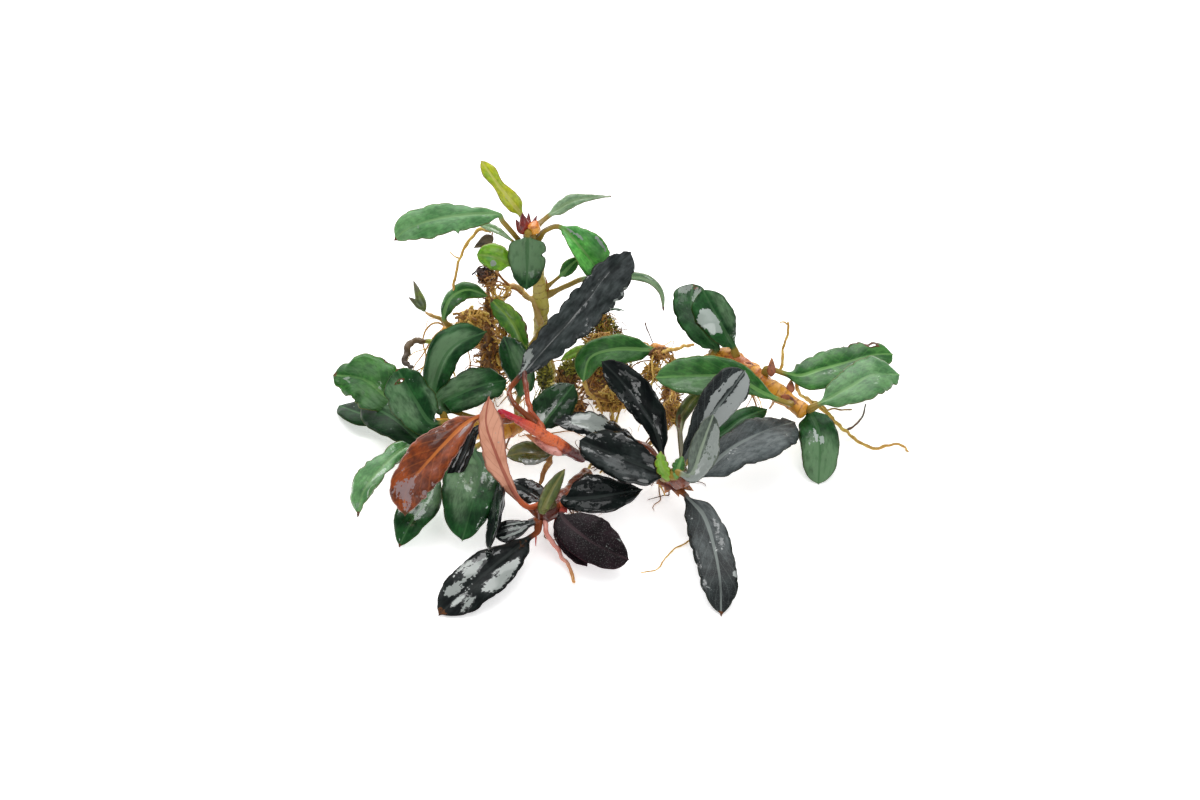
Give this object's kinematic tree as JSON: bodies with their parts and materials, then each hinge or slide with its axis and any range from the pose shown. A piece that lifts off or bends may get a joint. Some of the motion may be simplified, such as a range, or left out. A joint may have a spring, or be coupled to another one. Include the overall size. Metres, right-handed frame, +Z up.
{
  "type": "bucephalandra plant",
  "caption": "Clump of a small water plant with wavy leaves on creeping rhizomes around felted roots, lying as taken out of the water.",
  "frame": {"origin": "middle of the overall box, on the surface that the clump rests on", "axes": "+X along the clump's longest extent, to the right as seen from the front; +Y to the back; +Z up"},
  "size_m": [0.1397, 0.1007, 0.066],
  "materials": {
    "leaf_deep_green": "wet, glossy, dark green",
    "leaf_green": "wet, glossy, mid green with grey-green reflections",
    "leaf_lime": "young leaf, satin yellow-green",
    "leaf_black": "wet, glossy, nearly black with silver reflections",
    "leaf_grey": "satin grey-black",
    "leaf_purple": "satin purple-black, speckled",
    "leaf_copper": "satin copper brown",
    "leaf_underside": "matte pinkish brown underside",
    "rhizome": "knobbly, satin, orange brown",
    "young_stem": "satin yellow-green",
    "red_shoot": "wet, glossy crimson to orange",
    "roots": "matte felted golden-brown fibres"
  },
  "bodies": {
    "root": {"leaf_back_stem": "leaf_deep_green", "leaf_black_long": "leaf_black", "leaf_centre_back": "leaf_deep_green", "leaf_centre_behind": "leaf_black", "leaf_centre_broad": "leaf_black", "leaf_centre_folded": "leaf_grey", "leaf_centre_ground": "leaf_black", "leaf_centre_matte": "leaf_grey", "leaf_centre_under": "leaf_deep_green", "leaf_centre_upright": "leaf_black", "leaf_copper": "leaf_copper", "leaf_crown_behind": "leaf_green", "leaf_crown_folded": "leaf_deep_green", "leaf_crown_hanging": "leaf_deep_green", "leaf_crown_left": "leaf_green", "leaf_crown_lime": "leaf_lime", "leaf_crown_right": "leaf_green", "leaf_crown_young": "leaf_lime", "leaf_front_dark": "leaf_black", "leaf_front_edge_on": "leaf_black", "leaf_front_large": "leaf_black", "leaf_front_narrow": "leaf_green", "leaf_front_purple": "leaf_purple", "leaf_front_streaked": "leaf_black", "leaf_front_underside": "leaf_underside", "leaf_left_broad": "leaf_deep_green", "leaf_left_front": "leaf_grey", "leaf_left_ground": "leaf_deep_green", "leaf_left_inner": "leaf_green", "leaf_left_lower": "leaf_deep_green", "leaf_left_outer": "leaf_green", "leaf_left_tall": "leaf_green", "leaf_left_upper": "leaf_green", "leaf_left_wavy": "leaf_lime", "leaf_middle_curled": "leaf_green", "leaf_rear_arching": "leaf_green", "leaf_rear_folded": "leaf_lime", "leaf_rear_pale": "leaf_green", "leaf_red_low": "leaf_deep_green", "leaf_red_streaked": "leaf_deep_green", "leaf_right_behind": "leaf_deep_green", "leaf_right_down": "leaf_deep_green", "leaf_right_end": "leaf_green", "leaf_right_far": "leaf_green", "leaf_right_long": "leaf_green", "leaf_right_upper": "leaf_deep_green", "rhizome_centre": "rhizome", "rhizome_front": "rhizome", "rhizome_left": "rhizome", "rhizome_middle": "rhizome", "rhizome_rear_left": "rhizome", "rhizome_right": "rhizome", "root_clump_left": "roots", "root_clump_right": "roots", "root_mass": "roots", "root_mat": "roots", "root_right": "roots", "root_upright": "roots", "shoot_red": "red_shoot", "stem_crown": "young_stem"}
  },
  "joints": []
}
